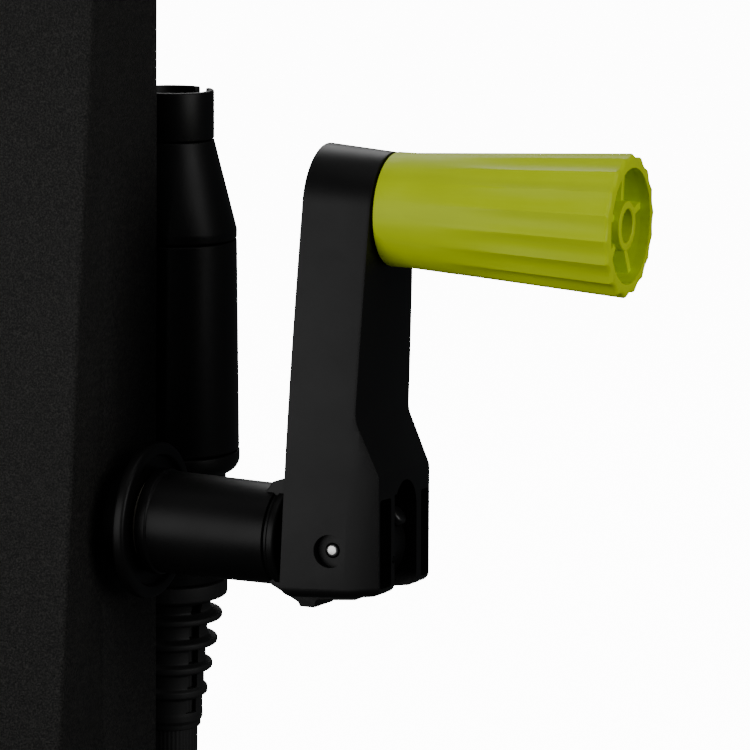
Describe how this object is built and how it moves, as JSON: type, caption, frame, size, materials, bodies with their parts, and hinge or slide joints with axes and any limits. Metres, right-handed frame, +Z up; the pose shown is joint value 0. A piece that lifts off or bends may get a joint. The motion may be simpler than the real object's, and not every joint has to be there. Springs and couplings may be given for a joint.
{
  "type": "hand crank unit",
  "caption": "Folding hand crank with a flared fluted grip on a flanged bearing in a tapered post, with a stowed spray nozzle on a hose behind the post.",
  "frame": {"origin": "on the foot's underside, straight below the crank's axle and in the middle of the post's width", "axes": "+Z up, +X out of the post's crank side along the crank's axle, +Y to the back, where the nozzle and hose are"},
  "size_m": [0.2405, 0.176, 0.3873],
  "materials": {
    "textured_black": "fine speckled texture",
    "black_plastic": "satin, moulded",
    "lime_plastic": "satin, moulded",
    "black_rubber": "matt",
    "hose_rubber": "matt, faint lengthwise lines",
    "steel": "bright",
    "bearing_plastic": "natural, waxy"
  },
  "bodies": {
    "root": {"foot": "black_plastic", "post_shell": "textured_black", "post_cap": "black_plastic", "post_screw_1": "steel", "post_screw_2": "steel", "bearing_flange": "black_plastic", "inner_bearing": "black_plastic", "connector_body": "black_plastic", "connector_seal": "black_rubber", "hose_boot": "black_rubber", "hose": "hose_rubber", "hose_nut": "black_plastic", "inlet_spigot": "black_plastic", "holder_clip": "black_plastic", "barrel_saddle": "black_plastic", "holder_screw_1": "steel", "holder_screw_2": "steel", "holder_screw_3": "steel"},
    "crank": {"drive_shaft": "steel", "shaft_circlip": "steel", "drive_dog": "black_plastic", "dog_screw": "steel", "thrust_washer": "bearing_plastic", "crank_hub": "black_plastic", "hub_set_screw": "steel", "fold_catch": "steel"},
    "arm": {"crank_arm": "black_plastic", "pivot_pin": "steel", "pin_clip": "steel", "grip_axle": "steel", "grip_screw": "steel"},
    "grip": {"grip": "lime_plastic"},
    "collar": {"lock_collar": "black_plastic"},
    "nozzle": {"nozzle_barrel": "black_plastic"},
    "valve_cone": {"nozzle_cone": "black_plastic"},
    "spray_head": {"nozzle_head": "black_plastic", "jet_insert": "bearing_plastic"}
  },
  "joints": [
    {"name": "crank_spin", "type": "hinge", "parent": "root", "child": "crank", "pos_m": [0.03, 0, 0.18], "axis": [1, 0, 0], "continuous": true},
    {"name": "arm_fold", "type": "hinge", "parent": "crank", "child": "arm", "pos_m": [0.1083, 0, 0.18], "axis": [0, 0.9962, -0.0872], "range_deg": [0, 150]},
    {"name": "grip_spin", "type": "hinge", "parent": "arm", "child": "grip", "pos_m": [0.03, 0.00872, 0.27962], "axis": [1, 0, 0], "continuous": true},
    {"name": "collar_turn", "type": "hinge", "parent": "root", "child": "collar", "pos_m": [0.022, 0.05, 0.188], "axis": [0, 0, 1], "range_deg": [0, 60]},
    {"name": "nozzle_lift", "type": "slide", "parent": "root", "child": "nozzle", "axis": [0, 0, 1], "range_m": [0, 0.06]},
    {"name": "cone_turn", "type": "hinge", "parent": "nozzle", "child": "valve_cone", "pos_m": [0.022, 0.05, 0.26], "axis": [0, 0, 1], "range_deg": [0, 90]},
    {"name": "head_turn", "type": "hinge", "parent": "valve_cone", "child": "spray_head", "pos_m": [0.022, 0.05, 0.291], "axis": [0, 0, 1], "range_deg": [-180, 180]}
  ]
}
